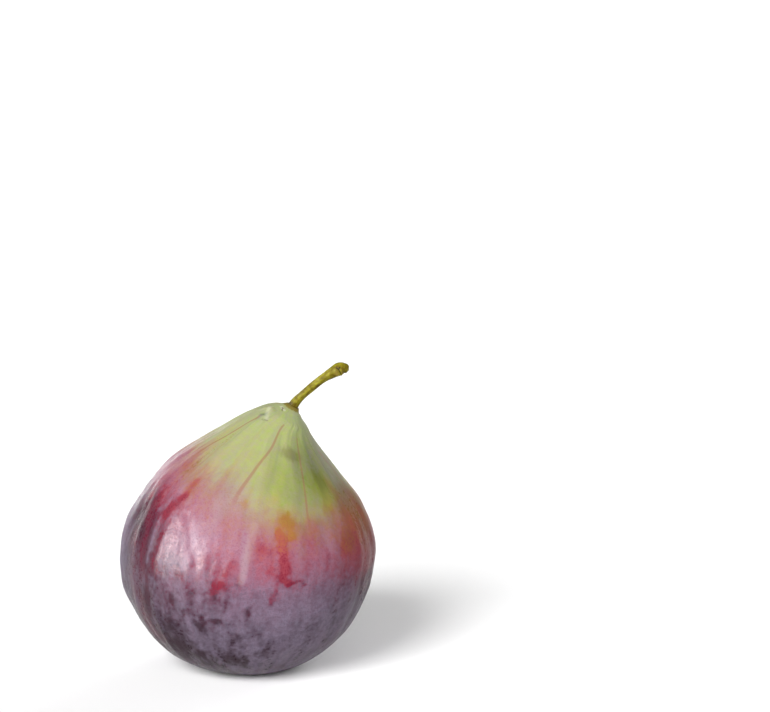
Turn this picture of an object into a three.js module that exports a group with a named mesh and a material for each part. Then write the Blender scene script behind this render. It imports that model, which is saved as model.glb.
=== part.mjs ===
import * as THREE from "three";

// A ripe fig resting on its eye. +Z is up, the origin lies on the ground under the fig's middle, and the
// neck leans towards +X. Millimetres; angles in degrees unless a name says otherwise.

const COLUMNS = 96; // faces round the fruit
const STEM_COLUMNS = 24;

// Sections of the body from the middle of the eye up to the neck:
// height, sideways place, radius, tilt, rings up to the next section.
const BODY = [
  [1.3, -0.1, 0, 0, 2],
  [1.22, -0.1, 1.3, 0, 2],
  [0.85, -0.1, 2.6, 0, 3],
  [0.2, -0.1, 3.7, 0, 1],
  [0, -0.1, 4.3, 0, 1],
  [0, -0.1, 7, 0, 2],
  [1.35, -0.1, 12, 0, 2],
  [4.5, -0.4, 17.2, 0, 3],
  [9.5, -0.4, 21.8, 1, 3],
  [16, -0.4, 25, 2, 3],
  [24, 0.15, 26.25, 8, 3],
  [32, 2.1, 25.05, 10.5, 3],
  [39, 2.9, 21.35, 10.5, 3],
  [44.5, 4.4, 15.75, 13.5, 3],
  [49, 5.6, 10.6, 15.5, 3],
  [52.2, 7, 7, 21, 6],
];

// The end of the neck leans over, and the collar round the stem stands on its lower side.
const NECK_X = 8.87;
const NECK_Z = 55.35;
const NECK_TILT = 31;

// Sections of the neck's end: distance along its axis, slide towards the low side, radius, rings.
const NECK_END = [
  [-1.6, 0.5, 5, 3],
  [-0.5, 0, 3.4, 2],
  [0.02, 0.3, 2.85, 2],
  [0.07, 0.42, 2.25, 1],
  [0.25, 0.5, 1.9, 1],
  [0.65, 0.5, 1.74, 1],
  [0.78, 0.5, 1.65, 1],
  [0.68, 0.5, 1.56, 1],
  [-0.1, 0.5, 1.52, 1],
  [-0.22, 0.5, 1.3, 1],
  [-0.22, 0.5, 0, 0],
];

// Ribs over the main veins, from the shoulders to the neck.
const RIB_HEIGHT_BODY = 0.1;
const RIB_HEIGHT_NECK = 0.22;
const RIM_RIB = { azimuth: 186, height: 0.75, halfWidth: 7, groove: 0.25, grooveAt: 200 };

// Scars of the bracts round the neck: azimuth, section height, half width in degrees, height.
const BRACTS = [
  [216, 53.8, 17, 0.4],
  [96, 54, 20, 0.35],
];

// Scales that close the eye, in two rows, each pointing inwards.
const EYE_SCALES = 8;
const EYE_RADIUS = 3.7;
const SCALE_HEIGHT = 0.32;

// The stem's middle line, side view (x, z), with its radius at each place, base first.
const STEM = [
  [9.26, 55.18, 1.2],
  [9.83, 56.38, 1.05],
  [11.1, 57.88, 0.9],
  [13.15, 59.7, 0.86],
  [15.5, 61.63, 0.91],
  [17.75, 63.04, 1.16],
  [19.4, 63.9, 1.4],
  [20.38, 64, 1.12],
  [21.05, 63.7, 0.76],
];
const STEM_END_BULGE = 0.3;
const STEM_RINGS = 34;
const STEM_RIDGES = 5;
const STEM_RIDGE_HEIGHT = 0.05;

const rad = THREE.MathUtils.degToRad;
const { smoothstep, lerp } = THREE.MathUtils;

/** Signed turn in degrees from one azimuth to another, -180 to 180. */
const turn = (from, to) => ((((to - from) % 360) + 540) % 360) - 180;

/** Bell curve, 1 in the middle. */
const bell = (distance, halfWidth) => Math.exp(-((distance / halfWidth) ** 2));

/** Ribs: two runs of waves of different spacing, so that no two ribs are equally strong. */
function ribs(azimuth, height) {
  const a = rad(azimuth);
  const waves = 0.6 * Math.cos(11 * a + 0.6) + 0.4 * Math.cos(17 * a + 2.1);
  const strength = lerp(RIB_HEIGHT_BODY, RIB_HEIGHT_NECK, smoothstep(height, 26, 44));
  return waves * strength * smoothstep(height, 1, 9) * (1 - smoothstep(height, 50.5, 53.5));
}

/** The one strong rib, with a shallow groove beside it. */
function rimRib(azimuth, height) {
  const rib = RIM_RIB.height * bell(turn(RIM_RIB.azimuth, azimuth), RIM_RIB.halfWidth);
  const groove = RIM_RIB.groove * bell(turn(RIM_RIB.grooveAt, azimuth), RIM_RIB.halfWidth);
  return (rib - groove) * smoothstep(height, 12, 18) * (1 - smoothstep(height, 28, 38));
}

/** Bract scars: a lip that rises sharply on the body's side and sinks slowly towards the stem. */
function bracts(azimuth, height) {
  let raised = 0;
  for (const [at, level, halfWidth, lip] of BRACTS) {
    const across = turn(at, azimuth) / halfWidth;
    const up = height - level + 0.5 * across * across;
    raised += lip * Math.exp(-(across ** 2)) * smoothstep(up, -0.45, -0.1) * (1 - smoothstep(up, -0.1, 0.9));
  }
  return raised;
}

/** Scales of the eye: each row rises towards its inner tips, and the rows are half a scale apart. */
function eyeScales(azimuth, height, radius) {
  if (height > 2 || radius >= EYE_RADIUS) return 0;
  const row = radius > EYE_RADIUS / 2 ? 0 : 1;
  const inward = row === 0 ? (EYE_RADIUS - radius) / (EYE_RADIUS / 2) : 1 - radius / (EYE_RADIUS / 2);
  const lobe = Math.abs(Math.cos(rad((azimuth * EYE_SCALES) / 2 + row * 90)));
  return SCALE_HEIGHT * lobe ** 0.7 * smoothstep(inward, 0, 0.8) * (1 - smoothstep(inward, 0.85, 1));
}

/** A closed skin over rings of points, with one point closing each end. */
function skin(first, rings, last) {
  const columns = rings[0].length;
  const points = [first, ...rings.flat(), last];
  const at = (ring, column) => 1 + ring * columns + (column % columns);
  const faces = [];
  for (let j = 0; j < columns; j++) {
    faces.push(0, at(0, j + 1), at(0, j));
    for (let i = 0; i < rings.length - 1; i++) {
      faces.push(at(i, j), at(i, j + 1), at(i + 1, j + 1));
      faces.push(at(i, j), at(i + 1, j + 1), at(i + 1, j));
    }
    faces.push(at(rings.length - 1, j), at(rings.length - 1, j + 1), points.length - 1);
  }
  const geometry = new THREE.BufferGeometry().setFromPoints(points);
  geometry.setIndex(faces);
  geometry.computeVertexNormals();
  return geometry;
}

/** The body: rings square to the leaning middle line, raised along the skin's normal. */
function fruitGeometry() {
  const tilt = rad(NECK_TILT);
  const neckEnd = NECK_END.map(([along, slide, radius, count]) => [
    NECK_Z + along * Math.cos(tilt) - slide * Math.sin(tilt),
    NECK_X + along * Math.sin(tilt) + slide * Math.cos(tilt),
    radius,
    NECK_TILT,
    count,
  ]);
  const sections = [...BODY, ...neckEnd];
  const outline = new THREE.SplineCurve(sections.map(([z, , radius]) => new THREE.Vector2(radius, z)));
  const spine = new THREE.SplineCurve(sections.map(([, x, , lean]) => new THREE.Vector2(x, lean)));

  const ring = (t) => {
    const { x: radius, y: height } = outline.getPoint(t);
    const tangent = outline.getTangent(t);
    const { x: side, y: lean } = spine.getPoint(t);
    const cos = Math.cos(rad(lean));
    const sin = Math.sin(rad(lean));
    return Array.from({ length: COLUMNS }, (_, j) => {
      const azimuth = (360 * j) / COLUMNS;
      const body = ribs(azimuth, height) + rimRib(azimuth, height) + bracts(azimuth, height);
      const raised = body + eyeScales(azimuth, height, radius);
      const reach = Math.max(radius, 0) + raised * tangent.y;
      const along = -raised * tangent.x;
      const out = reach * Math.cos(rad(azimuth));
      return new THREE.Vector3(
        side + out * cos + along * sin,
        reach * Math.sin(rad(azimuth)),
        Math.max(height - out * sin + along * cos, 0),
      );
    });
  };

  const rings = [];
  const spans = sections.length - 1;
  sections.forEach(([, , , , count], k) => {
    for (let n = 0; n < count; n++) {
      if (k + n > 0) rings.push(ring((k + n / count) / spans));
    }
  });
  const [eyeZ, eyeX] = sections[0];
  const [seatZ, seatX] = sections[spans];
  return skin(new THREE.Vector3(eyeX, 0, eyeZ), rings, new THREE.Vector3(seatX, 0, seatZ));
}

/** The stem: a bent stalk with low ridges along it and a rounded, slightly lumpy club at its end. */
function stemGeometry() {
  const middle = new THREE.SplineCurve(STEM.map(([x, z]) => new THREE.Vector2(x, z)));
  const width = new THREE.SplineCurve(STEM.map(([x, , radius]) => new THREE.Vector2(x, radius)));
  const rings = Array.from({ length: STEM_RINGS }, (_, i) => {
    const t = i / (STEM_RINGS - 1);
    const centre = middle.getPoint(t);
    const heading = middle.getTangent(t);
    const radius = width.getPoint(t).y;
    const lumps = smoothstep(t, 0.08, 0.3) * (1 - smoothstep(t, 0.9, 1));
    return Array.from({ length: STEM_COLUMNS }, (__, j) => {
      const a = (2 * Math.PI * j) / STEM_COLUMNS;
      const ridge = STEM_RIDGE_HEIGHT * lumps * Math.cos(STEM_RIDGES * a + 2.5 * t);
      const lump = 0.06 * lumps * Math.sin(2 * a + 9 * t) * Math.sin(14 * t);
      const reach = radius + ridge + lump;
      return new THREE.Vector3(
        centre.x + reach * Math.cos(a) * heading.y,
        reach * Math.sin(a),
        centre.y - reach * Math.cos(a) * heading.x,
      );
    });
  });
  const base = middle.getPoint(0);
  const end = middle.getPoint(1).addScaledVector(middle.getTangent(1), STEM_END_BULGE);
  return skin(new THREE.Vector3(base.x, 0, base.y), rings, new THREE.Vector3(end.x, 0, end.y));
}

function part(name, geometry, color, roughness) {
  const material = new THREE.MeshStandardMaterial({ color, roughness, metalness: 0 });
  const mesh = new THREE.Mesh(geometry, material);
  mesh.name = name;
  return mesh;
}

const fig = new THREE.Group();
fig.name = "fig";
fig.add(part("fruit", fruitGeometry(), 0x7d5f70, 0.5));
fig.add(part("stem", stemGeometry(), 0x857a2e, 0.65));

export default fig;
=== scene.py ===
import math

import bpy
import numpy as np
from bpy.props import FloatProperty, FloatVectorProperty, IntProperty, PointerProperty
from bpy.types import Operator, Panel, PropertyGroup
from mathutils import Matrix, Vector, noise


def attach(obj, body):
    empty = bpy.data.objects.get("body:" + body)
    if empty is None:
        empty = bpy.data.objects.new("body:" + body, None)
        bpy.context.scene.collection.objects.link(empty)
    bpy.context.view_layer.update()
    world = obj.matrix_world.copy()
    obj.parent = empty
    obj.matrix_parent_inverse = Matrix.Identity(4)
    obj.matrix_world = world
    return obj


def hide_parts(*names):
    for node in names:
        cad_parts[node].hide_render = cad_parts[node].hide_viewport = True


bl_info = {
    "name": "Ripe Fig",
    "version": (1, 0, 0),
    "blender": (4, 5, 0),
    "location": "View3D > Sidebar > Fig",
    "description": "Builds a ripe fig with its stem, on a white table in soft light",
    "category": "Add Mesh",
}

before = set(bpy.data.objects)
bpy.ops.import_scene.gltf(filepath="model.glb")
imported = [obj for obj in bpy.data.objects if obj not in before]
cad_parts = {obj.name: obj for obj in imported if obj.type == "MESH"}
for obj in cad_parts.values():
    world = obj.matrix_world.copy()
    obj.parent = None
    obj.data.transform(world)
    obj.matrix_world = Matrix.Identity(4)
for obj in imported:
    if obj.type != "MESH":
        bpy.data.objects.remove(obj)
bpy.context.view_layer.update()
MM = 0.001


def linear(hex_colour, alpha=1.0):
    """An sRGB hex colour as linear red, green, blue and alpha."""
    out = []
    for k in (1, 3, 5):
        c = int(hex_colour[k : k + 2], 16) / 255
        out.append(c / 12.92 if c <= 0.04045 else ((c + 0.055) / 1.055) ** 2.4)
    return (*out, alpha)


# The shapes: the same sections as the solids', in millimetres and degrees.

# height, sideways place, radius, tilt of each section, from the middle of the eye up to the neck
BODY = [
    (1.3, -0.1, 0, 0),
    (1.22, -0.1, 1.3, 0),
    (0.85, -0.1, 2.6, 0),
    (0.2, -0.1, 3.7, 0),
    (0, -0.1, 4.3, 0),
    (0, -0.1, 7, 0),
    (1.35, -0.1, 12, 0),
    (4.5, -0.4, 17.2, 0),
    (9.5, -0.4, 21.8, 1),
    (16, -0.4, 25, 2),
    (24, 0.15, 26.25, 8),
    (32, 2.1, 25.05, 10.5),
    (39, 2.9, 21.35, 10.5),
    (44.5, 4.4, 15.75, 13.5),
    (49, 5.6, 10.6, 15.5),
    (52.2, 7, 7, 21),
]
NECK_X, NECK_Z, NECK_TILT = 8.87, 55.35, 31
# distance along the neck's axis, slide to the low side, radius; the last ones close in on the stem
# in a collar that is slimmer than the solid's
NECK_END = [
    (-1.6, 0.5, 5),
    (-0.55, 0.05, 3.4),
    (-0.1, 0.15, 2.7),
    (0.2, 0.12, 2.12),
    (0.5, 0.2, 1.8),
    (0.8, 0.28, 1.54),
    (1.0, 0.38, 1.35),
    (0.98, 0.42, 1.22),
    (0.5, 0.46, 1.24),
    (0.15, 0.5, 1.1),
    (0.12, 0.5, 0),
]
RING_START, RIM_SECTION = 5, 18  # sections between which a place on the skin is given by its height
COLLAR_START = 19.3  # section from which the skin is the brown collar of the stem

OUTLINE_SAMPLES = 6000  # steps in which the sections' outline is measured
CYLINDER_RADIUS = 22  # of the cylinder on which drawn-out noise is laid
BODY_MIDDLE = (4, 0, 28)

RIB_HEIGHT, NECK_RIB_GAIN = 0.1, 0.12  # broad ribs on the body, and how much more at the neck
RIDGE_WAVES, RIDGE_SEED = (29, 37, 46, 57), 7  # narrow ridges round the body
# the strong rib: azimuth, height, half width, then azimuth and depth of the groove beside it,
# which is shallower than in the solid
RIM_RIB = (186, 0.75, 7, 200, 0.1)
# azimuth, section height, half width in degrees, height
BRACTS = [(216, 53.8, 17, 0.4), (96, 54, 20, 0.35)]
EYE_SCALES, EYE_RADIUS, SCALE_HEIGHT = 8, 3.7, 0.32

# the stem's middle line in side view and its radius, base first
STEM = [
    (9.26, 55.18, 1.2),
    (9.83, 56.38, 1.05),
    (11.1, 57.88, 0.9),
    (13.15, 59.7, 0.86),
    (15.5, 61.63, 0.91),
    (17.75, 63.04, 1.16),
    (19.4, 63.9, 1.4),
    (20.38, 64, 1.12),
    (21.05, 63.7, 0.76),
]
STEM_LENGTH, CLUB_RADIUS, STEM_END_BULGE = 17, 1.3, 0.3

# the crack on the near side of the club: short grooves in the shape of a Y, each from
# (share of the length, angle) to the same
FORK = (0.737, 262)
STEM_CRACKS = [((0.715, 242), FORK), ((0.768, 248), FORK), (FORK, (0.746, 318))]
CRACK_DEPTH, CRACK_HALF_WIDTH = 0.1, 0.17
# pale corky patches: strength, share of the length, half length, angle, half width in degrees
CORK = [(1, 0.682, 0.026, 296, 24), (0.8, 0.79, 0.022, 298, 20)]

# the nub under the left scar, and shallow grooves between the ribs at the front left:
# height, half width in mm, line of (azimuth, height) places
NUB_AND_GROOVES = [
    (0.28, 0.5, [(219, 52.7), (224, 52.8)]),
    (-0.22, 1.1, [(234, 34.6), (240, 31), (247, 26.5)]),
    (-0.09, 0.8, [(251, 33), (252, 30), (254, 26.8)]),
    (-0.07, 0.5, [(229, 33), (233, 30.5), (236, 27.5)]),
    (-0.12, 0.9, [(216, 34.5), (221, 30), (223, 26)]),
]

# Marks on the skin. Each line is a row of (azimuth, height) places.

# ripeness that the mark has, how far it goes towards it, more or less bloom, half width in mm, line
STROKES = [
    (0.4, 0.55, -0.15, 1.7, [(212, 42.5), (212, 41.3)]),
    (0.55, 0.6, -0.25, 0.95, [(211, 37.8), (210, 36.9), (209, 35.1)]),
    (0.62, 0.85, -0.45, 0.7, [(201, 35.1), (201, 34.4)]),
    (0.7, 0.85, -0.45, 1.4, [(209, 34.4), (207, 32.1), (210, 30.6), (212, 29.0)]),
    (0.72, 0.8, -0.3, 1, [(213, 29.0), (213, 27.4), (213, 25.4), (214, 24.1)]),
    (0.5, 0.6, -0.35, 1.1, [(228, 40.8), (228, 39.3), (227, 37.6)]),
    (0.6, 0.85, -0.45, 1.25, [(227, 37.6), (224, 35.5), (220, 33.3)]),
    (0.68, 0.8, -0.35, 0.9, [(224, 29.8), (224, 28.2), (224, 26.2), (224, 24.5)]),
    (0.66, 0.7, -0.3, 1.7, [(223, 24.1), (227, 22.9)]),
    (0.68, 0.9, -0.35, 0.95, [(239, 24.1), (241, 23.7)]),
    (0.56, 0.65, -0.25, 1.2, [(264, 27.8), (261, 25.8), (259, 23.3)]),
    (0.64, 0.6, -0.25, 1.3, [(259, 23.3), (257, 21.7)]),
    (0.55, 0.5, -0.2, 1, [(251, 28.2), (248, 27.4)]),
    (0.5, 0.5, -0.2, 2.2, [(271, 33.7), (274, 30.6)]),
    (0.52, 0.5, -0.2, 1.8, [(276, 32.1), (281, 27.0)]),
    (0.32, 0.95, -0.5, 1.35, [(286, 37.9), (288, 36.6), (289, 35.1)]),
    (0.43, 1.0, -0.8, 0.8, [(282, 35.5), (284, 33.3), (285, 31.0)]),
    (0.54, 1.0, -0.8, 0.8, [(285, 31.0), (287, 29.0), (287, 27.0), (289, 25.8)]),
    (0.66, 0.8, -0.4, 0.3, [(290, 25.4), (295, 26.2), (298, 25.4)]),
    (0.58, 0.7, -0.3, 0.7, [(285, 25.8), (285, 24.1)]),
    (0.64, 0.7, -0.3, 0.8, [(285, 23.3), (283, 21.3)]),
    (0.3, 0.8, -0.35, 0.8, [(262, 39.6), (262, 38.9)]),
    (0.52, 0.5, -0.2, 0.8, [(319, 34.4), (322, 33.7)]),
    (0.54, 0.5, -0.2, 0.7, [(317, 32.9), (322, 31.7)]),
    (0.38, 0.9, -0.5, 1.4, [(347, 36.9), (345, 34.8)]),
    (0.4, 0.7, -0.15, 2.6, [(331, 38.5), (324, 35), (321, 33)]),
    (0.25, 0.4, -0.15, 1.6, [(320, 41.6), (313, 40.2)]),
    (0.1, 0.6, -0.35, 2, [(317, 45.4), (316, 41.9)]),
    (0.72, 0.6, -0.2, 0.7, [(202, 27.8), (205, 25.4)]),
    (0.76, 0.7, -0.25, 1, [(216, 26.2), (216, 22.9), (220, 20.9)]),
    (0.7, 0.65, 0.0, 4, [(205, 25), (209, 17), (215, 10)]),
    (0.5, 0, 0.2, 0.4, [(208, 37.3), (205, 33.7), (201, 30.2), (197, 27.4), (195, 24.1)]),
    (0.5, 0, 0.22, 0.6, [(223, 39.3), (221, 36.9), (218, 35.1), (214, 33.3)]),
    (0.5, 0, 0.25, 0.45, [(218, 32.5), (218, 29.8), (219, 27.8), (219, 24.1)]),
    # pale streak down the front: bloom on a ridge, with a painted highlight along it
    (0.45, 0.1, 0.5, 0.55, [(266, 34.4), (267, 31.0), (270, 25.4)]),
    (0.4, 0, 0.2, 0.8, [(249, 39.6), (249, 35.5)]),
    (0.3, 0, 0.2, 0.7, [(307, 36.9), (310, 32.5)]),
]
# dark blotches without bloom low on the body: azimuth, height, half width, half height in mm, depth
BLOTCHES = [
    (234, 15.4, 1.1, 1.8, 0.26),
    (218, 17.7, 1.2, 2.4, 0.24),
    (216, 12.7, 1.3, 2, 0.22),
    (219, 8.9, 1.6, 1.8, 0.32),
    (232, 8.9, 1.9, 1.6, 0.38),
    (243, 8.3, 2, 2, 0.42),
    (251, 4.8, 3, 1.8, 0.42),
    (264, 6.7, 2, 1.5, 0.28),
    (271, 6.5, 1.6, 1.8, 0.38),
    (281, 8.9, 1.2, 2.2, 0.36),
    (294, 4.0, 2.2, 1.3, 0.3),
    (304, 6.1, 1.6, 1.2, 0.28),
    (257, 16.1, 1.9, 0.7, 0.32),
    (252, 14.2, 1, 1.6, 0.25),
    (246, 17.3, 1.4, 1, 0.25),
    (246, 20.9, 1.2, 1.3, 0.28),
    (258, 20.9, 0.9, 1.2, 0.28),
    (236, 19.7, 1.4, 1.3, 0.24),
    (266, 12.0, 0.9, 0.9, 0.3),
    (313, 7.3, 1.2, 0.8, 0.3),
    (320, 9.6, 1, 0.8, 0.25),
    (273, 18.5, 0.7, 1.2, 0.25),
]
LEFT_VEIN = [(221, 52.6), (214, 51.3), (210, 48.9), (207, 46.2), (206, 44.1), (205, 42)]
MIDDLE_VEIN = [(270, 53.1), (269.5, 49.7), (262.5, 46.2), (259, 43.3), (257, 40.5), (256, 37.5)]
RIGHT_VEIN = [(303, 51.8), (304, 49.7), (301.5, 46.0), (299.5, 41.6), (299, 37.9), (300, 34)]
# how strong each vein is, half width in mm at its start and end, line
VEINS = [
    (1.0, 0.16, 0.22, LEFT_VEIN),
    (0.85, 0.17, 0.44, MIDDLE_VEIN),
    (0.8, 0.15, 0.26, RIGHT_VEIN),
    (0.5, 0.16, 0.22, [(346, 49.5), (350, 45), (350, 42.3), (346, 39)]),
    (0.7, 0.16, 0.3, [(28, 52), (24, 48), (26, 44), (22, 39)]),
    (0.8, 0.16, 0.32, [(68, 52.6), (72, 49), (69, 45), (73, 40), (71, 36)]),
    (0.7, 0.16, 0.28, [(112, 52.4), (108, 48.5), (112, 44), (109, 40)]),
    (0.7, 0.16, 0.32, [(160, 52.6), (155, 49), (158, 45.5), (154, 41)]),
]
# white folds beside the scars, whose white is in part a painted highlight, and a pale streak down
# the front, bloom on a ridge with a painted highlight along it: strength, half width in mm, line
PALE_FOLDS_AND_HIGHLIGHTS = [
    (0.32, 0.45, [(208, 53.9), (219, 53.4), (236, 52.8)]),
    (0.7, 0.32, [(222, 55.3), (236, 55.1), (248, 55.1)]),
    (0.11, 0.8, [(270, 36), (268.5, 31), (269, 25)]),
]
# grey and brown stains, and one dark crescent that is painted shade below the nub: strength, half
# width in mm, line
STAINS_AND_SHADE = [
    (0.44, 1.5, [(288, 48.9), (298, 48.7)]),
    (0.9, 0.14, [(230, 55.3), (246, 54.9)]),
    # painted shade below the nub
    (0.6, 0.15, [(230, 52.6), (240, 52.7)]),
]
# where the bloom is thicker or thinner; the marked rows use more pale powder as painted sheen,
# highlight and reflection, and less powder as painted shade: azimuth, height, half width in
# degrees, half height in mm, amount
BLOOM_SHEEN_AND_SHADE = [
    (300, 19, 40, 8, 0.12),
    # pale haze at the left rim: bloom, and a painted reflection of the light at the left
    (187, 23, 7, 9, 0.35),
    (190, 40, 20, 6, 0.03),
    # these two rows: less powder low at the left and along the bottom, painted shade near the
    # ground
    (207, 11, 26, 9, -0.48),
    (228, 2, 50, 7, -0.19),
    (290, 7, 25, 7, 0.06),
    (203, 30, 15, 8, -0.48),
    # these two rows: less powder at the right edge, painted shade
    (345, 35, 20, 8, -0.52),
    (350, 25, 20, 8, -0.5),
    (330, 10, 40, 8, -0.12),
    # less powder on the right of the neck: painted shade
    (316, 46, 16, 6, -0.25),
    # more pale powder at the neck's right edge: painted sheen
    (352, 49, 18, 8, 0.2),
    (262, 36, 24, 6, 0.1),
    (282, 44, 22, 6, -0.2),
    (254, 40.5, 10, 3, 0.25),
    (318, 31, 18, 7, -0.12),
    (228, 10, 42, 9, -0.1),
    # more pale powder over the second highlight: painted highlight
    (242, 31, 7, 4, 0.2),
    (100, 20, 60, 10, 0.1),
]
# where the bare skin is darker: the same. Most rows are painted shade, down the right side of the
# neck and body and in the crease beside the right vein; the last row is the nub's own darker green
DARK_TONE_AND_SHADE = [
    (316, 47, 16, 7, 0.75),
    (345, 46, 20, 9, 0.6),
    (292, 44, 12, 7, 0.36),
    (278, 47, 9, 5, 0.15),
    (346, 31, 20, 8, 0.55),
    (316, 31, 20, 7, 0.24),
    (222, 52.8, 5, 0.6, 0.8),
]
# azimuth, then the heights at which green ends, crimson is full and purple starts
GROUND = [
    (0, 42, 34, 28),
    (30, 43.5, 35, 27),
    (60, 42, 32, 24),
    (95, 44, 35, 26),
    (130, 42.5, 33, 25),
    (165, 44.5, 37, 30),
    (189, 46.5, 40, 35),
    (206, 45.6, 38, 34),
    (220, 44.2, 35.2, 26.5),
    (236, 43.6, 32.4, 22.6),
    (250, 42.7, 28.6, 21.7),
    (262, 41, 27.4, 21.7),
    (275, 39.1, 27.2, 21.8),
    (289, 38, 28.8, 22.9),
    (300, 38.6, 29, 24),
    (309, 40.2, 30.5, 25),
    (322, 42.2, 29.5, 25),
    # riper here, in part painted shade at the right edge
    (343, 43.3, 28.5, 26),
    (360, 42, 33, 27),
]

# Nodes of the materials, and the sockets of the one that mixes colours.
FIELD, NOISE, MATH = "ShaderNodeAttribute", "ShaderNodeTexNoise", "ShaderNodeMath"
RANGE, MIX = "ShaderNodeMapRange", "ShaderNodeMix"
S_CURVE = {"interpolation_type": "SMOOTHSTEP"}
MIX_FACTOR, MIX_A, MIX_B, MIX_OUT = 0, 6, 7, 2
SKIN_FIELDS = (
    "ripe", "deep", "vein_side", "vein_near", "bloom", "pale", "stain", "collar", "eye",
)

# ripeness from the bottom up to the neck, at heights that GROUND gives for each azimuth
RIPENESS = (1, 0.87, 0.74, 0.56, 0.43, 0.27, 0.08, 0)
SKIN_TOP = 62
BLOTCH_STRENGTH, BLOTCH_RIPENESS = 0.85, 0.9
FAR_ACROSS = 9  # half widths from a vein's middle beyond which nothing changes

# The room: lamps by name, azimuth, elevation and spread in radians, 0 for a lit panel.
# key: a soft source up at the front left, for the shadow to the right and back
# front: a wide, low source at the front right, which lifts the shadow and the dark side
# back: a weak, wide source behind at the right
# window and wall: panels low at the left and behind, which show in the skin's gloss alone
LAMPS = (
    ("key", 241, 31, 0.55),
    ("front", 283, 25, 0.6),
    ("back", 50, 18, 0.7),
    ("window", 208, 9, 0),
    ("wall", 122, 6, 0),
)
PANEL_WIDTH, PANEL_HEIGHT, PANEL_DISTANCE = 0.36, 0.32, 0.6  # metres
LAMP_AIM = (0, 0, 0.028)
BOARD_HALF = 6.0
CAMERA_PLACE = (28.85, -591.68, 176.28)  # mm


def spline(stations, t):
    """The curve through evenly spaced stations at t from 0 to 1, and its slope."""
    p = np.asarray(stations, float)
    u = np.clip(t, 0, 1) * (len(p) - 1)
    i = np.minimum(u.astype(int), len(p) - 2)
    w = (u - i)[:, None]
    a, b, c, d = p[np.maximum(i - 1, 0)], p[i], p[i + 1], p[np.minimum(i + 2, len(p) - 1)]
    start, end = (c - a) / 2, (d - b) / 2
    cubic, square = 2 * b - 2 * c + start + end, 3 * c - 3 * b - 2 * start - end
    value = cubic * w**3 + square * w**2 + start * w + b
    return value, 3 * cubic * w**2 + 2 * square * w + start


def smooth(low, high, value):
    """0 below low, 1 above high, and an S curve between."""
    u = np.clip((value - low) / (high - low), 0, 1)
    return u * u * (3 - 2 * u)


def bell(distance):
    """Bell curve, 1 in the middle."""
    return np.exp(-(distance**2))


def turn(start, azimuth):
    """Signed turn in degrees from start to azimuth."""
    return (azimuth - start + 180) % 360 - 180


def fruit_sections():
    """Height, sideways place, radius and tilt of every section, the leaning neck's end included."""
    tilt = math.radians(NECK_TILT)
    end = [
        (
            NECK_Z + along * math.cos(tilt) - slide * math.sin(tilt),
            NECK_X + along * math.sin(tilt) + slide * math.cos(tilt),
            radius,
            NECK_TILT,
        )
        for along, slide, radius in NECK_END
    ]
    return BODY + end


def ring_places(count):
    """Where the rings stand on the sections: even steps, closer at the neck's end and the eye."""
    t = np.linspace(0, 1, OUTLINE_SAMPLES)
    value, _ = spline(fruit_sections(), t)
    height, radius = value[:, 0], value[:, 2]
    step = np.hypot(np.diff(radius), np.diff(height))
    eye = (radius[1:] < 4) * (height[1:] < 2)
    close = 1 + 1.6 * smooth(51.5, 53.5, height[1:]) + 0.5 * eye
    run = np.concatenate([[0], np.cumsum(step * close)])
    return np.interp(np.linspace(0, 1, count + 2)[1:-1] * run[-1], run, t)


def ribs(azimuth, height):
    """The raised veins under the skin: broad ribs as in the solid, and the one strong rib."""
    a = np.radians(azimuth)
    waves = 0.6 * np.cos(11 * a + 0.6) + 0.4 * np.cos(17 * a + 2.1)
    strength = RIB_HEIGHT + NECK_RIB_GAIN * smooth(26, 44, height)
    broad = waves * strength * smooth(1, 9, height) * (1 - smooth(50.5, 53.5, height))
    at, high, half, groove_at, groove = RIM_RIB
    strong = high * bell(turn(at, azimuth) / half) - groove * bell(turn(groove_at, azimuth) / half)
    return broad + strong * smooth(12, 18, height) * (1 - smooth(28, 38, height))


def fine_ribs(azimuth, height, depth):
    """Narrow ridges that run down the skin and sway a little, 3 to 6 mm apart at the middle."""
    rng = np.random.default_rng(RIDGE_SEED)
    a = np.radians(azimuth)
    total = np.zeros(np.broadcast(azimuth, height).shape)
    for waves in RIDGE_WAVES:
        phase, sway, pitch = rng.uniform(0, 2 * np.pi), rng.uniform(0.4, 1.1), rng.uniform(7, 13)
        patch = 0.55 + 0.45 * np.cos(rng.integers(2, 6) * a + rng.uniform(0, 6) + height / pitch)
        total += patch * np.cos(waves * a + phase + sway * np.sin(height / pitch + phase))
    band = smooth(3, 14, height) * (1 - 0.85 * smooth(33, 43, height))
    band = band * (1 - smooth(46, 51, height))
    return depth * band * total / 1.6


def bracts(azimuth, height):
    """Scars of the bracts: a lip that rises sharply below and sinks slowly towards the stem."""
    raised = 0
    for at, level, half, lip in BRACTS:
        across = turn(at, azimuth) / half
        up = height - level + 0.5 * across**2
        raised = raised + lip * bell(across) * smooth(-0.45, -0.1, up) * (1 - smooth(-0.1, 0.9, up))
    return raised


def eye_scales(azimuth, height, radius):
    """Two rows of scales that close the eye and point inwards."""
    row = EYE_RADIUS / 2
    inner = radius <= row
    inward = np.where(inner, 1 - radius / row, (EYE_RADIUS - radius) / row)
    lobe = np.abs(np.cos(np.radians(azimuth * EYE_SCALES / 2 + np.where(inner, 90, 0))))
    shape = SCALE_HEIGHT * lobe**0.7 * smooth(0, 0.8, inward) * (1 - smooth(0.85, 1, inward))
    return shape * (height < 2) * (radius < EYE_RADIUS)


def lumps(places, size, seed):
    """Smooth noise at each place, -1 to 1, with bumps of about the given size in mm."""
    shift = Vector((seed * 17.3, seed * 5.1, seed * 9.7))
    flat = places.reshape(-1, 3)
    values = [noise.fractal(Vector(place) / size + shift, 1.0, 2.0, 3) for place in flat]
    return np.array(values).reshape(places.shape[:-1])


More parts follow.
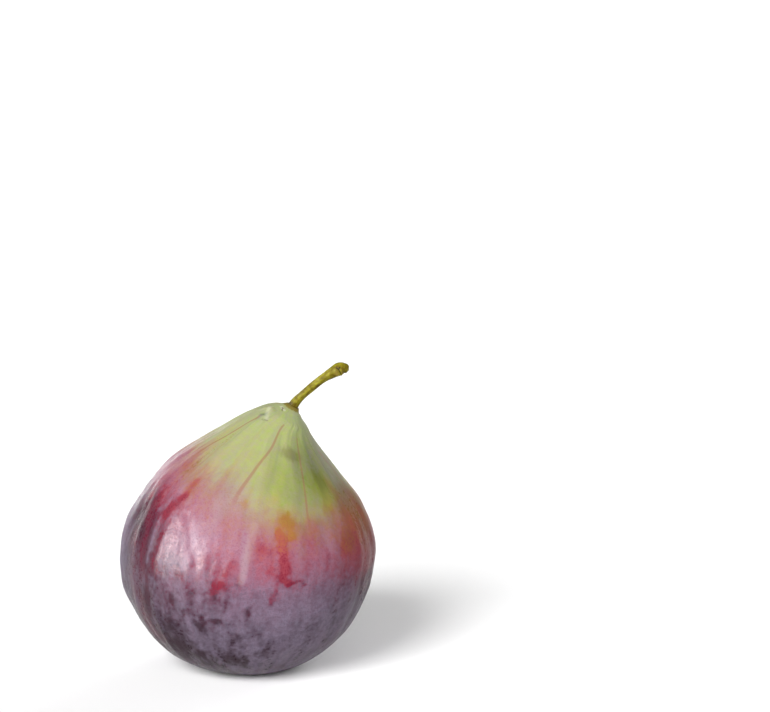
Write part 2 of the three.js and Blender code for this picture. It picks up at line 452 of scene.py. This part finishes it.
class Skin:
    """The body's skin as rings of points, with each point's azimuth, height and radius."""

    def __init__(self, shape):
        self.t = ring_places(shape.rings)
        self.azimuth = np.linspace(0, 360, shape.columns, endpoint=False)[None]
        sections = fruit_sections()
        value, slope = spline(sections, self.t)
        self.height, _, self.radius, _ = (value[:, k : k + 1] for k in range(4))
        run, rise = slope[:, 2:3], slope[:, 0:1]
        length = np.hypot(run, rise)
        self.out, self.up = rise / length, -run / length
        self.section = self.t[:, None] * (len(sections) - 1) + 0 * self.azimuth
        self.plain = self.points(np.zeros((shape.rings, shape.columns)))
        self.surface = self.points(self.relief(shape.ridge / MM))

    def relief(self, ridge):
        """How far each point is raised from the plain sections, in mm."""
        soft = 0.1 * lumps(self.plain, 7, 1) + 0.035 * lumps(self.plain, 2.2, 2)
        soft = soft + 0.12 * lumps(self.stretched(2.2), 3.4, 11)
        soft = soft * smooth(1, 8, self.height)
        relief = ribs(self.azimuth, self.height) + bracts(self.azimuth, self.height)
        relief = relief + fine_ribs(self.azimuth, self.height, ridge)
        relief = relief + eye_scales(self.azimuth, self.height, self.radius)
        for raised, half, line in NUB_AND_GROOVES:
            relief = relief + raised * bell(self.distance(line)[0] / half)
        return relief + soft * (1 - smooth(53.5, 54.5, self.height))

    def stretched(self, ratio):
        """Places on a cylinder as thick as the body, on which noise is drawn out along the body."""
        a = np.radians(self.azimuth)
        across = CYLINDER_RADIUS + 0 * self.height
        along = self.height / ratio + 0 * a
        return np.stack([across * np.cos(a), across * np.sin(a), along], -1)

    def points(self, raised):
        """The skin's points when it is raised along its normal, none of them below the ground."""
        value, _ = spline(fruit_sections(), self.t)
        height, side, radius, lean = (value[:, k : k + 1] for k in range(4))
        lean, a = np.radians(lean), np.radians(self.azimuth)
        reach = np.maximum(radius, 0) + raised * self.out
        along, across = raised * self.up, reach * np.cos(a)
        x = side + across * np.cos(lean) + along * np.sin(lean)
        z = height - across * np.sin(lean) + along * np.cos(lean)
        return np.stack([x, reach * np.sin(a), np.maximum(z, 0)], -1)

    def place(self, line):
        """Points on the skin for a line of (azimuth, height), closely spaced."""
        line, _ = spline(line, np.linspace(0, 1, 8 * len(line)))
        sections = fruit_sections()
        t = np.linspace(RING_START, RIM_SECTION, 600) / (len(sections) - 1)
        heights = spline(sections, t)[0][:, 0]
        value, _ = spline(sections, np.interp(line[:, 1], heights, t))
        height, side, radius, lean = value.T
        lean, a = np.radians(lean), np.radians(line[:, 0])
        across = radius * np.cos(a)
        x, z = side + across * np.cos(lean), height - across * np.sin(lean)
        return np.stack([x, radius * np.sin(a), z], -1)

    def distance(self, line):
        """How far each point of the skin is from a line, on which side, and how far along it."""
        path = self.place(line)
        points = self.plain
        best = np.full(points.shape[:2], 1e9)
        side, along = np.zeros_like(best), np.zeros_like(best)
        for k in range(len(path) - 1):
            a, b = path[k], path[k + 1]
            ab = b - a
            w = np.clip(((points - a) @ ab) / (ab @ ab + 1e-12), 0, 1)
            gap = points - (a + w[..., None] * ab)
            d = np.linalg.norm(gap, axis=-1)
            near = d < best
            best = np.where(near, d, best)
            over = np.cross(ab, a - np.array(BODY_MIDDLE))
            side = np.where(near, np.sign(gap @ over), side)
            along = np.where(near, (k + w) / (len(path) - 1), along)
        return best, side, along

    def spots(self, marks):
        """Soft round spots, added up."""
        total = np.zeros(self.plain.shape[:2])
        for at, level, half_turn, half_height, amount in marks:
            across, up = turn(at, self.azimuth) / half_turn, (self.height - level) / half_height
            total += amount * np.exp(-(across**2 + up**2))
        return total

    def cover(self, marks, ragged):
        """How much of each point is covered by lines with ragged edges."""
        total = np.zeros(self.plain.shape[:2])
        for strength, half, line in marks:
            d = self.distance(line)[0] + 0.4 * half * ragged
            total = np.maximum(total, strength * (1 - smooth(0.4 * half, 1.5 * half, d)))
        return total


def bands(skin, level):
    """Ripeness by azimuth and level: purple at the bottom, then crimson, amber and green."""
    knots = np.array(GROUND, float)
    ends = [np.interp(skin.azimuth[0], knots[:, 0], knots[:, k]) for k in (1, 2, 3)]
    ripe = np.empty(level.shape)
    for j in range(level.shape[1]):
        green, crimson, purple = (e[j] for e in ends)
        low = [purple - 12, purple - 4, purple, crimson]
        high = [(green + crimson) / 2, green - 1.2, green + 2.5, SKIN_TOP]
        ripe[:, j] = np.interp(level[:, j], low + high, RIPENESS)
    return np.where(skin.height < 2, 1, ripe)


def nearest_veins(skin):
    """Each point's signed place across its nearest vein, in half widths, and how strong it is."""
    shape = skin.plain.shape[:2]
    side_of, strength_of = np.full(shape, float(FAR_ACROSS)), np.zeros(shape)
    nearest = np.full(shape, 1e9)
    for strength, half_start, half_end, line in VEINS:
        d, side, along = skin.distance(line)
        half = half_start + (half_end - half_start) * along
        near = d < nearest
        nearest = np.where(near, d, nearest)
        side_of = np.where(near, side * np.minimum(d / half, FAR_ACROSS), side_of)
        fade = strength * (1 - smooth(0.7, 1.0, along)) * (1 - smooth(1.0, 1.8, d))
        strength_of = np.where(near, fade, strength_of)
    return side_of, strength_of


def paint(skin):
    """The fields that the skin's material reads, each one value for each point of the skin."""
    stretched = skin.stretched(6)
    streaks = lumps(stretched, 3.2, 3)
    fine_streaks = lumps(stretched, 1.3, 6)
    patches = lumps(skin.stretched(1.5), 2.8, 9)
    ragged = lumps(skin.stretched(1.2), 1.2, 5)
    clouds = lumps(skin.plain, 9, 4)

    # the bands of ripeness stray up and down, most of all at the left
    wild = 0.25 + 0.6 * bell(turn(208, skin.azimuth) / 24)
    level = skin.height + wild * (3.5 * streaks + 2 * fine_streaks)
    ripe = bands(skin, level + 1.6 * clouds + 1.3 * patches + 0.6 * ragged)

    # the bloom is mottled low on the body, less so at the front right
    bloom = 0.6 + 0.08 * clouds + 0.1 * streaks + 0.06 * fine_streaks
    mottled = 0.2 + 0.8 * (1 - smooth(18, 30, skin.height + 3 * clouds))
    mottled = mottled * (1 - 0.5 * bell(turn(318, skin.azimuth) / 34))
    # spots that thicken the bloom paint sheen, a highlight and a reflection; spots that thin it
    # paint shade
    bloom = bloom + mottled * (0.02 + 0.16 * patches + 0.19 * ragged) + skin.spots(BLOOM_SHEEN_AND_SHADE)
    for ripeness, strength, more, half, line in STROKES:
        d, _, along = skin.distance(line)
        reach = half * (0.85 + 0.4 * np.sin(np.pi * along))
        cover = bell(np.maximum(d + half * (0.5 * ragged + 0.35 * fine_streaks), 0) / reach)
        ripe = ripe + (ripeness - ripe) * strength * cover
        bloom = bloom + more * cover
    for at, level, half_wide, half_high, depth in BLOTCHES:
        across = np.radians(turn(at, skin.azimuth)) * np.maximum(skin.radius, 4)
        far = np.hypot(across / half_wide, (skin.height - level) / half_high)
        cover = bell(np.maximum(far + 0.5 * ragged + 0.2 * patches, 0))
        bloom = bloom - BLOTCH_STRENGTH * depth * cover
        ripe = np.maximum(ripe, BLOTCH_RIPENESS * cover)

    vein_side, vein_near = nearest_veins(skin)
    return {
        "ripe": np.clip(ripe, 0, 1),
        # darker tone at random and the nub's green, and painted shade from the spots
        "deep": np.clip(skin.spots(DARK_TONE_AND_SHADE) + 0.15 * patches, 0, 1),
        "vein_side": vein_side,
        "vein_near": vein_near,
        "bloom": bloom,
        # pale folds and streak, partly painted highlight
        "pale": skin.cover(PALE_FOLDS_AND_HIGHLIGHTS, ragged),
        # stains, and painted shade below the nub
        "stain": skin.cover(STAINS_AND_SHADE, ragged),
        "collar": smooth(COLLAR_START, COLLAR_START + 0.8, skin.section + 0.5 * ragged),
        "eye": (1 - smooth(3.2, 5.5, skin.radius)) * (skin.height < 2) + 0 * streaks,
        "stretched": stretched,
    }


def stem_form(shape):
    """The stem's rings of points in mm, the points that close its ends, and its bark's fields."""
    t = np.linspace(0, 1, shape.stem_rings)
    value, slope = spline(STEM, t)
    heading = slope[:, :2] / np.linalg.norm(slope[:, :2], axis=1)[:, None]
    t = t[:, None]
    a = np.linspace(0, 2 * np.pi, shape.stem_columns, endpoint=False)[None]

    def rod(length):
        """Places on a straight rod as thick as the club, for noise that follows the stem."""
        places = (CLUB_RADIUS * np.cos(a), CLUB_RADIUS * np.sin(a), length * t)
        return np.stack(np.broadcast_arrays(*places), -1)

    def unrolled(share, angle):
        """Places on the unrolled bark, in mm along and across."""
        return np.stack(np.broadcast_arrays(STEM_LENGTH * share, CLUB_RADIUS * angle), -1)

    lively = smooth(0.08, 0.3, t) * (1 - smooth(0.9, 1, t))
    ridges = 0.05 * lively * np.cos(5 * a + 2.5 * t)
    relief = ridges + 0.06 * lively * np.sin(2 * a + 9 * t) * np.sin(14 * t)
    knots = lumps(rod(STEM_LENGTH), 1.1, 8)
    relief = relief + 0.03 * knots * smooth(0.05, 0.2, t)
    place = unrolled(t, a)
    crack = np.zeros(relief.shape)
    for ends in STEM_CRACKS:
        start, end = (unrolled(share, math.radians(angle)) for share, angle in ends)
        way = end - start
        w = np.clip((place - start) @ way / (way @ way), 0, 1)
        gap = np.linalg.norm(place - start - w[..., None] * way, axis=-1)
        crack = np.maximum(crack, bell(gap / CRACK_HALF_WIDTH))
    reach = value[:, 2:3] + relief - CRACK_DEPTH * crack

    cork = np.zeros(relief.shape)
    for strength, share, half_share, angle, half_angle in CORK:
        far = ((t - share) / half_share) ** 2 + ((np.degrees(a) - angle) / half_angle) ** 2
        cork += strength * np.exp(-far)
    under = np.clip(np.cos(a), 0, 1) ** 1.5
    foot = 1 - smooth(0.08, 0.2, t)
    brown = 0.55 * under * smooth(0.1, 0.3, t) * (0.6 + 0.8 * knots) + 0.75 * foot
    brown = brown + 0.3 * smooth(0.7, 0.95, t) + 0.45 * np.maximum(knots, 0)
    fields = {
        "brown": np.clip(brown, 0, 1),
        "cork": np.clip(cork, 0, 1),
        "crack": np.clip(crack, 0, 1),
        "stretched": rod(2.5),
    }

    x = value[:, 0:1] + reach * np.cos(a) * heading[:, 1:2]
    z = value[:, 1:2] - reach * np.cos(a) * heading[:, 0:1]
    points = np.stack([x, reach * np.sin(a), z], -1)
    tip = value[-1, :2] + STEM_END_BULGE * heading[-1]
    return points, (value[0, 0], 0, value[0, 1]), (tip[0], 0, tip[1]), fields


def make_piece(name, rings, first, last, material, fields):
    """A closed mesh over rings of points in mm, with one point closing each end."""
    count, columns = rings.shape[:2]
    points = np.concatenate([[first], rings.reshape(-1, 3), [last]]) * MM
    j = np.arange(columns)
    k = (j + 1) % columns
    faces = [(0, 1 + b, 1 + a) for a, b in zip(j, k)]
    for i in range(count - 1):
        low, high = 1 + i * columns, 1 + (i + 1) * columns
        faces += list(zip(low + j, low + k, high + k, high + j))
    top = 1 + (count - 1) * columns
    faces += [(top + a, top + b, len(points) - 1) for a, b in zip(j, k)]
    mesh = bpy.data.meshes.new(name)
    mesh.from_pydata(points.tolist(), [], [tuple(int(v) for v in f) for f in faces])
    mesh.shade_smooth()
    for key, values in fields.items():
        if values.ndim == 3:
            data = [values[:1].mean(1), values.reshape(-1, 3), values[-1:].mean(1)]
            kind, into = "FLOAT_VECTOR", "vector"
        else:
            data = [[values[0].mean()], values.ravel(), [values[-1].mean()]]
            kind, into = "FLOAT", "value"
        layer = mesh.attributes.new(key, kind, "POINT")
        layer.data.foreach_set(into, np.concatenate(data).astype(np.float32).ravel())
    piece = bpy.data.objects.new(name, mesh)
    bpy.context.scene.collection.objects.link(piece)
    mesh.materials.append(material)
    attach(piece, "root")
    return piece


def add(tree, kind, settings, output=0):
    """A new node, as the output asked for: each setting goes to its property or socket, and a
    setting that is another node's output is linked."""
    new = tree.nodes.new(kind)
    for key, value in settings.items():
        if isinstance(value, bpy.types.NodeSocket):
            tree.links.new(value, new.inputs[key])
        elif isinstance(key, str) and hasattr(new, key):
            setattr(new, key, value)
        else:
            new.inputs[key].default_value = value
    return new.outputs[output] if new.outputs else None


def new_material(name):
    """A material with an empty node tree."""
    material = bpy.data.materials.new(name)
    material.use_nodes = True
    material.node_tree.nodes.clear()
    return material, material.node_tree


def finish_material(tree, settings):
    """The material's shader with its settings, joined to the output."""
    shader = add(tree, "ShaderNodeBsdfPrincipled", settings)
    add(tree, "ShaderNodeOutputMaterial", {"Surface": shader})


def fill_ramp(elements, stops):
    """A ramp's colours, from rows of (place, colour)."""
    elements.remove(elements[1])
    elements[0].position, elements[0].color = stops[0]
    for at, colour in stops[1:]:
        elements.new(at).color = colour


def summed(tree, base, parts):
    """A base value with so much of each pattern added."""
    for pattern, amount in parts:
        base = add(tree, MATH, {"operation": "MULTIPLY_ADD", 0: pattern, 1: amount, 2: base})
    return base


def coated(tree, colour, coats):
    """A colour under further coats, each as thick as its factor."""
    for factor, coat in coats:
        settings = {"data_type": "RGBA", MIX_FACTOR: factor, MIX_A: colour, MIX_B: coat}
        colour = add(tree, MIX, settings, MIX_OUT)
    return colour


def waxy_skin(look):
    """Ripe fig skin: a thin, slightly see-through rind that ripens from green through red to purple
    black, under a grey bloom of wax powder. Bare skin has a soft gloss; powder is matt and pale."""
    material, tree = new_material("ripe_fig_skin_with_bloom")
    read = {key: add(tree, FIELD, {"attribute_name": key}, "Fac") for key in SKIN_FIELDS}
    along = add(tree, FIELD, {"attribute_name": "stretched"}, "Vector")
    place = add(tree, "ShaderNodeTexCoord", {}, "Object")
    to_mm = {"operation": "SCALE", "Scale": 1 / MM, 0: place}
    in_mm = add(tree, "ShaderNodeVectorMath", to_mm, "Vector")

    # patterns about 0, each with the size of its marks in mm, detail, roughness and place
    patterns = []
    for size, detail, rough, where in (
        (2.4, 5, 0.6, along),
        (3.4, 6, 0.62, in_mm),
        (0.8, 3, 0.6, in_mm),
        (0.4, 2, 0.6, in_mm),
    ):
        settings = {"Scale": 1 / size, "Detail": detail, "Roughness": rough, "Vector": where}
        grey = add(tree, NOISE, settings, "Fac")
        patterns.append(add(tree, MATH, {"operation": "SUBTRACT", 0: grey, 1: 0.5}))
    streak, patch, speck, dust = patterns

    # skin under the bloom
    spot = add(tree, RANGE, {**S_CURVE, "Value": dust, "From Min": 0.02, "From Max": 0.12})
    ripe = summed(tree, read["ripe"], ((streak, 0.1), (patch, 0.1), (speck, 0.13)))
    turned = add(tree, RANGE, {**S_CURVE, "Value": ripe, "From Min": 0.2, "From Max": 0.45})
    spotted = add(tree, MATH, {"operation": "MULTIPLY", 0: spot, 1: turned})
    ripe = summed(tree, ripe, ((spotted, 0.05),))
    bare = add(tree, "ShaderNodeValToRGB", {"Fac": ripe}, "Color")
    stops = (
        (0.0, look.green),
        (0.15, look.lime),
        (0.31, look.amber),
        (0.42, look.salmon),
        (0.51, look.rose),
        (0.62, look.crimson),
        (0.76, look.maroon),
        (0.96, look.purple),
    )
    fill_ramp(bare.node.color_ramp.elements, stops)
    # darker bare skin: random tone and the nub's darker green, and painted shade down the right
    # side and in the crease by the right vein
    tint = {"data_type": "RGBA", "blend_type": "MULTIPLY", MIX_FACTOR: read["deep"]}
    bare = add(tree, MIX, {**tint, MIX_A: bare, MIX_B: look.deep}, MIX_OUT)

    # bloom: powder lies in patches, thins out where the skin was rubbed, and is grainy; the field
    # also carries painted sheen, a painted highlight and painted shade from the bloom spots
    powder = summed(tree, read["bloom"], ((patch, 0.2), (streak, 0.16), (speck, 0.7)))
    powder = add(tree, RANGE, {**S_CURVE, "Value": powder, "From Min": 0.06, "From Max": 0.98})
    grainy = summed(tree, 1.0, ((dust, 0.8), (spot, -0.4)))
    veil = add(tree, MATH, {"operation": "MULTIPLY", 0: powder, 1: grainy})
    veil = add(tree, MATH, {"operation": "MULTIPLY", 0: veil, 1: look.bloom_strength})

    # veins, and the dark ring of the eye
    across = add(tree, MATH, {"operation": "ABSOLUTE", 0: read["vein_side"]})
    edge = {"From Min": 0.5, "From Max": 1.7, "To Min": 1.0, "To Max": 0.0}
    vein = add(tree, RANGE, {**S_CURVE, "Value": across, **edge})
    vein = add(tree, MATH, {"operation": "MULTIPLY", 0: vein, 1: read["vein_near"]})
    vein = add(tree, MATH, {"operation": "MULTIPLY", 0: vein, 1: 0.62})
    eye = add(tree, MATH, {"operation": "MULTIPLY", 0: read["eye"], 1: 0.7})

    # pale breathing pores: about one cell in four has a dot 0.4 mm across
    cell = {"Scale": 1 / 3.6, "Randomness": 1.0, "Vector": in_mm}
    cells = add(tree, "ShaderNodeTexVoronoi", cell).node.outputs
    shade = add(tree, "ShaderNodeSeparateColor", {0: cells["Color"]})
    chosen = add(tree, MATH, {"operation": "GREATER_THAN", 0: shade, 1: 0.72})
    edge = {"From Min": 0.035, "From Max": 0.07, "To Min": 1.0, "To Max": 0.0}
    dot = add(tree, RANGE, {**S_CURVE, "Value": cells["Distance"], **edge})
    pore = add(tree, MATH, {"operation": "MULTIPLY", 0: dot, 1: chosen})
    pale_pore = add(tree, MATH, {"operation": "MULTIPLY", 0: pore, 1: 0.65})

    # the bloom coat also holds painted sheen, highlight and shade, the pale coat paints highlights
    # on the folds and down the front, and the stain coat paints shade below the nub
    coats = (
        (veil, look.bloom),
        (vein, look.vein),
        (read["collar"], look.collar),
        (read["pale"], look.fold_and_highlight),
        (read["stain"], look.scar_and_shade),
        (eye, look.eye),
        (pale_pore, look.pore),
    )
    ends = {"To Min": look.gloss_roughness, "To Max": look.bloom_roughness}
    rough = add(tree, RANGE, {**S_CURVE, "Value": powder, **ends})
    height = summed(tree, speck, ((dust, 0.2), (pore, 0.25)))
    grain = {"Strength": 0.35, "Distance": 0.15 * MM, "Height": height}
    finish_material(
        tree,
        {
            "IOR": 1.4,
            "Specular IOR Level": 0.12,
            "Subsurface Weight": 0.12,
            "Subsurface Radius": (1.0, 0.35, 0.25),
            "Subsurface Scale": 1.5 * MM,
            "Base Color": coated(tree, bare, coats),
            "Roughness": summed(tree, rough, ((dust, 0.12), (speck, 0.3), (streak, 0.5))),
            "Normal": add(tree, "ShaderNodeBump", grain, "Normal"),
        },
    )
    return material


def green_stalk(look):
    """Stem of a picked fig: smooth green bark, olive where it has begun to dry, browned in streaks,
    with a pale corky patch and a crack near the cut end."""
    material, tree = new_material("drying_green_stem_bark")
    keys = ("brown", "cork", "crack")
    brown, cork, crack = (add(tree, FIELD, {"attribute_name": key}, "Fac") for key in keys)
    along = add(tree, FIELD, {"attribute_name": "stretched"}, "Vector")
    place = add(tree, "ShaderNodeTexCoord", {}, "Object")
    # streaks 0.5 mm wide along the stalk, blotches 0.8 mm
    streak = add(tree, NOISE, {"Scale": 2.0, "Detail": 4, "Vector": along}, "Fac")
    blotch = add(tree, NOISE, {"Scale": 1.3 / MM, "Detail": 4, "Vector": place}, "Fac")
    colour = add(tree, "ShaderNodeValToRGB", {"Fac": blotch}, "Color")
    fill_ramp(colour.node.color_ramp.elements, ((0.35, look.olive), (0.62, look.leaf)))
    ends = {"From Min": 0.52, "From Max": 0.7, "To Max": 0.7}
    dry = add(tree, RANGE, {"Value": streak, **ends})
    coats = ((dry, look.drying), (brown, look.bark), (cork, look.cork), (crack, look.crack))
    fine = {"Strength": 0.5, "Distance": 0.08 * MM, "Height": streak}
    finish_material(
        tree,
        {
            "IOR": 1.4,
            "Specular IOR Level": 0.08,
            "Roughness": 0.5,
            "Subsurface Weight": 0.05,
            "Subsurface Scale": 0.5 * MM,
            "Base Color": coated(tree, colour, coats),
            "Normal": add(tree, "ShaderNodeBump", fine, "Normal"),
        },
    )
    return material


def matt_white_board(colour):
    """Matt white painted board: no gloss, so that the fig's shadow is all that shows on it."""
    material, tree = new_material("matt_white_board")
    finish_material(tree, {"Base Color": colour, "Roughness": 1.0, "Specular IOR Level": 0.0})
    return material


def colour_prop(name, description, hex_colour):
    return FloatVectorProperty(
        name=name,
        description=description,
        subtype="COLOR",
        size=4,
        min=0,
        max=1,
        default=linear(hex_colour),
    )


class FigShape(PropertyGroup):
    columns: IntProperty(
        name="Columns", description="Faces round the body", default=400, min=60
    )
    rings: IntProperty(
        name="Rings", description="Rings from the eye to the stem", default=245, min=60
    )
    ridge: FloatProperty(
        name="Ridge height",
        description="Height of the narrow ridges down the skin",
        default=0.045 * MM,
        unit="LENGTH",
        precision=5,
    )
    stem_columns: IntProperty(
        name="Stem columns", description="Faces round the stem", default=72, min=12
    )
    stem_rings: IntProperty(
        name="Stem rings", description="Rings along the stem", default=150, min=20
    )


class FigSkinLook(PropertyGroup):
    green: colour_prop("Green", "Unripe skin of the neck", "#8fa34a")
    # tint for darker tone and for painted shade down the right side of the neck and body
    deep: colour_prop("Deep green", "Tint of the neck's darker skin", "#868c7a")
    lime: colour_prop("Lime", "Skin that begins to turn", "#989048")
    amber: colour_prop("Amber", "Turning skin", "#8f6434")
    salmon: colour_prop("Salmon", "Half ripe skin", "#8d4e3a")
    rose: colour_prop("Rose", "Red skin", "#873a44")
    crimson: colour_prop("Crimson", "Nearly ripe skin", "#701d2f")
    maroon: colour_prop("Maroon", "Ripe skin", "#4a1b2c")
    purple: colour_prop("Purple", "Fully ripe skin", "#2a1822")
    bloom: colour_prop("Bloom", "Wax powder on the skin", "#8b7e93")
    vein: colour_prop("Vein", "Veins down from the neck", "#875248")
    collar: colour_prop("Collar", "Corky collar round the stem", "#6e622c")
    # the folds' white is partly a painted highlight
    fold_and_highlight: colour_prop("Fold", "White folds by the scars", "#b4b2a2")
    scar_and_shade: colour_prop("Scar", "Brown scars", "#55472c")
    # also paints the shade below the nub
    eye: colour_prop("Eye", "Scales of the eye", "#3a2020")
    pore: colour_prop("Pore", "Breathing pores", "#8f858c")
    bloom_strength: FloatProperty(
        name="Bloom strength", description="How much the powder hides", default=0.52, min=0, max=1
    )
    gloss_roughness: FloatProperty(
        name="Bare roughness", description="Roughness of rubbed skin", default=0.33
    )
    bloom_roughness: FloatProperty(
        name="Bloom roughness", description="Roughness of powder", default=0.44
    )


class FigStemLook(PropertyGroup):
    olive: colour_prop("Olive", "Green bark", "#625808")
    leaf: colour_prop("Leaf", "Brighter green bark", "#867f20")
    drying: colour_prop("Drying", "Bark that has begun to dry", "#5a460e")
    bark: colour_prop("Bark", "Brown bark at the base and underneath", "#38250a")
    cork: colour_prop("Cork", "Pale corky patch", "#857234")
    crack: colour_prop("Crack", "Crack near the cut end", "#1d1208")


class FigStudio(PropertyGroup):
    board: colour_prop("Board", "Colour of the table", "#f8f8f8")
    ambient: FloatProperty(name="Ambient", description="Light from all around", default=0.18)
    key: FloatProperty(
        name="Key light", description="Strength of the light up at the left", default=4.4
    )
    front: FloatProperty(
        name="Front light", description="Strength of the low light in front", default=1.1
    )
    back: FloatProperty(
        name="Back light", description="Strength of the weak light behind", default=2.3
    )
    window: FloatProperty(
        name="Window light", description="Power of the low light at the left", default=34.0
    )
    wall: FloatProperty(
        name="Wall light", description="Power of the pale wall behind at the left", default=1.5
    )
    lens: FloatProperty(name="Lens", description="Focal length in mm", default=135)
    tilt: FloatProperty(
        name="Tilt",
        description="How far the camera looks down",
        default=math.radians(10.5),
        unit="ROTATION",
    )


class FIG_OT_fruit(Operator):
    """Build the fig's body with its skin"""

    bl_idname = "fig.fruit"
    bl_label = "Fruit"

    def execute(self, context):
        skin = Skin(context.scene.fig_shape)
        (low, low_x, _, _), (high, high_x, _, _) = fruit_sections()[0], fruit_sections()[-1]
        first, last = (low_x, 0, low), (high_x, 0, high)
        rind = waxy_skin(context.scene.fig_skin)
        piece = make_piece("fruit_skin", skin.surface, first, last, rind, paint(skin))
        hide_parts("fruit")
        return {"FINISHED"}


class FIG_OT_stem(Operator):
    """Build the stem"""

    bl_idname = "fig.stem"
    bl_label = "Stem"

    def execute(self, context):
        points, base, tip, fields = stem_form(context.scene.fig_shape)
        bark = green_stalk(context.scene.fig_stem)
        piece = make_piece("stem_bark", points, base, tip, bark, fields)
        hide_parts("stem")
        return {"FINISHED"}


def lay_board(context, studio):
    """The table that the fig stands on."""
    h = BOARD_HALF
    mesh = bpy.data.meshes.new("board")
    mesh.from_pydata([(-h, -h, 0), (h, -h, 0), (h, h, 0), (-h, h, 0)], [], [(0, 1, 2, 3)])
    mesh.materials.append(matt_white_board(studio.board))
    board = bpy.data.objects.new("board", mesh)
    context.scene.collection.objects.link(board)


def light_room(context, studio):
    """A room that looks white and gives a little light from all around, and the lamps in it."""
    world = bpy.data.worlds.new("white_room")
    world.use_nodes = True
    tree = world.node_tree
    tree.nodes.clear()
    white = {"Color": (1, 1, 1, 1)}
    seen = add(tree, "ShaderNodeBackground", {**white, "Strength": 1.0})
    lit = add(tree, "ShaderNodeBackground", {**white, "Strength": studio.ambient})
    camera_ray = add(tree, "ShaderNodeLightPath", {}, "Is Camera Ray")
    shades = {0: camera_ray, 1: lit, 2: seen}
    both = add(tree, "ShaderNodeMixShader", shades)
    add(tree, "ShaderNodeOutputWorld", {"Surface": both})
    context.scene.world = world

    aim = Vector(LAMP_AIM)
    for name, azimuth, elevation, spread in LAMPS:
        if spread:
            light = bpy.data.lights.new(name, "SUN")
            light.angle, reach = spread, 1.0
        else:
            light = bpy.data.lights.new(name, "AREA")
            light.shape, light.size, light.size_y = "RECTANGLE", PANEL_WIDTH, PANEL_HEIGHT
            reach = PANEL_DISTANCE
        light.energy = getattr(studio, name)
        a, e = math.radians(azimuth), math.radians(elevation)
        way = Vector((math.cos(a) * math.cos(e), math.sin(a) * math.cos(e), math.sin(e)))
        lamp = bpy.data.objects.new(name, light)
        lamp.location = aim + reach * way
        lamp.rotation_euler = (aim - lamp.location).to_track_quat("-Z", "Y").to_euler()
        lamp.visible_camera = False
        lamp.visible_glossy, lamp.visible_diffuse = spread == 0, spread > 0
        context.scene.collection.objects.link(lamp)


def place_camera(context, studio):
    """The camera that stands where the photograph was taken from."""
    eye = bpy.data.cameras.new("camera")
    eye.lens, eye.sensor_width, eye.clip_end = studio.lens, 36, 50
    camera = bpy.data.objects.new("camera", eye)
    camera.location = tuple(v * MM for v in CAMERA_PLACE)
    camera.rotation_euler = (math.pi / 2 - studio.tilt, 0, 0)
    context.scene.collection.objects.link(camera)
    context.scene.camera = camera
    context.scene.view_settings.view_transform = "Standard"


class FIG_OT_studio(Operator):
    """Set up the table, the lights and the camera"""

    bl_idname = "fig.studio"
    bl_label = "Studio"

    def execute(self, context):
        studio = context.scene.fig_studio
        lay_board(context, studio)
        light_room(context, studio)
        place_camera(context, studio)
        return {"FINISHED"}


class FIG_PT_panel(Panel):
    """Buttons and settings for the fig"""

    bl_label = "Fig"
    bl_space_type = "VIEW_3D"
    bl_region_type = "UI"
    bl_category = "Fig"

    def draw(self, context):
        for operator in OPERATORS:
            self.layout.operator(operator.bl_idname)
        for key, group in GROUPS.items():
            box = self.layout.box()
            for name in group.__annotations__:
                box.prop(getattr(context.scene, key), name)


OPERATORS = (FIG_OT_studio, FIG_OT_fruit, FIG_OT_stem)
GROUPS = {
    "fig_shape": FigShape,
    "fig_skin": FigSkinLook,
    "fig_stem": FigStemLook,
    "fig_studio": FigStudio,
}
CLASSES = (*GROUPS.values(), *OPERATORS, FIG_PT_panel)


def register():
    for item in CLASSES:
        bpy.utils.register_class(item)
    for key, group in GROUPS.items():
        setattr(bpy.types.Scene, key, PointerProperty(type=group))


def unregister():
    for key in GROUPS:
        delattr(bpy.types.Scene, key)
    for item in reversed(CLASSES):
        bpy.utils.unregister_class(item)


def main():
    register()
    bpy.ops.fig.studio()
    bpy.ops.fig.fruit()
    bpy.ops.fig.stem()


if __name__ == "__main__":
    main()
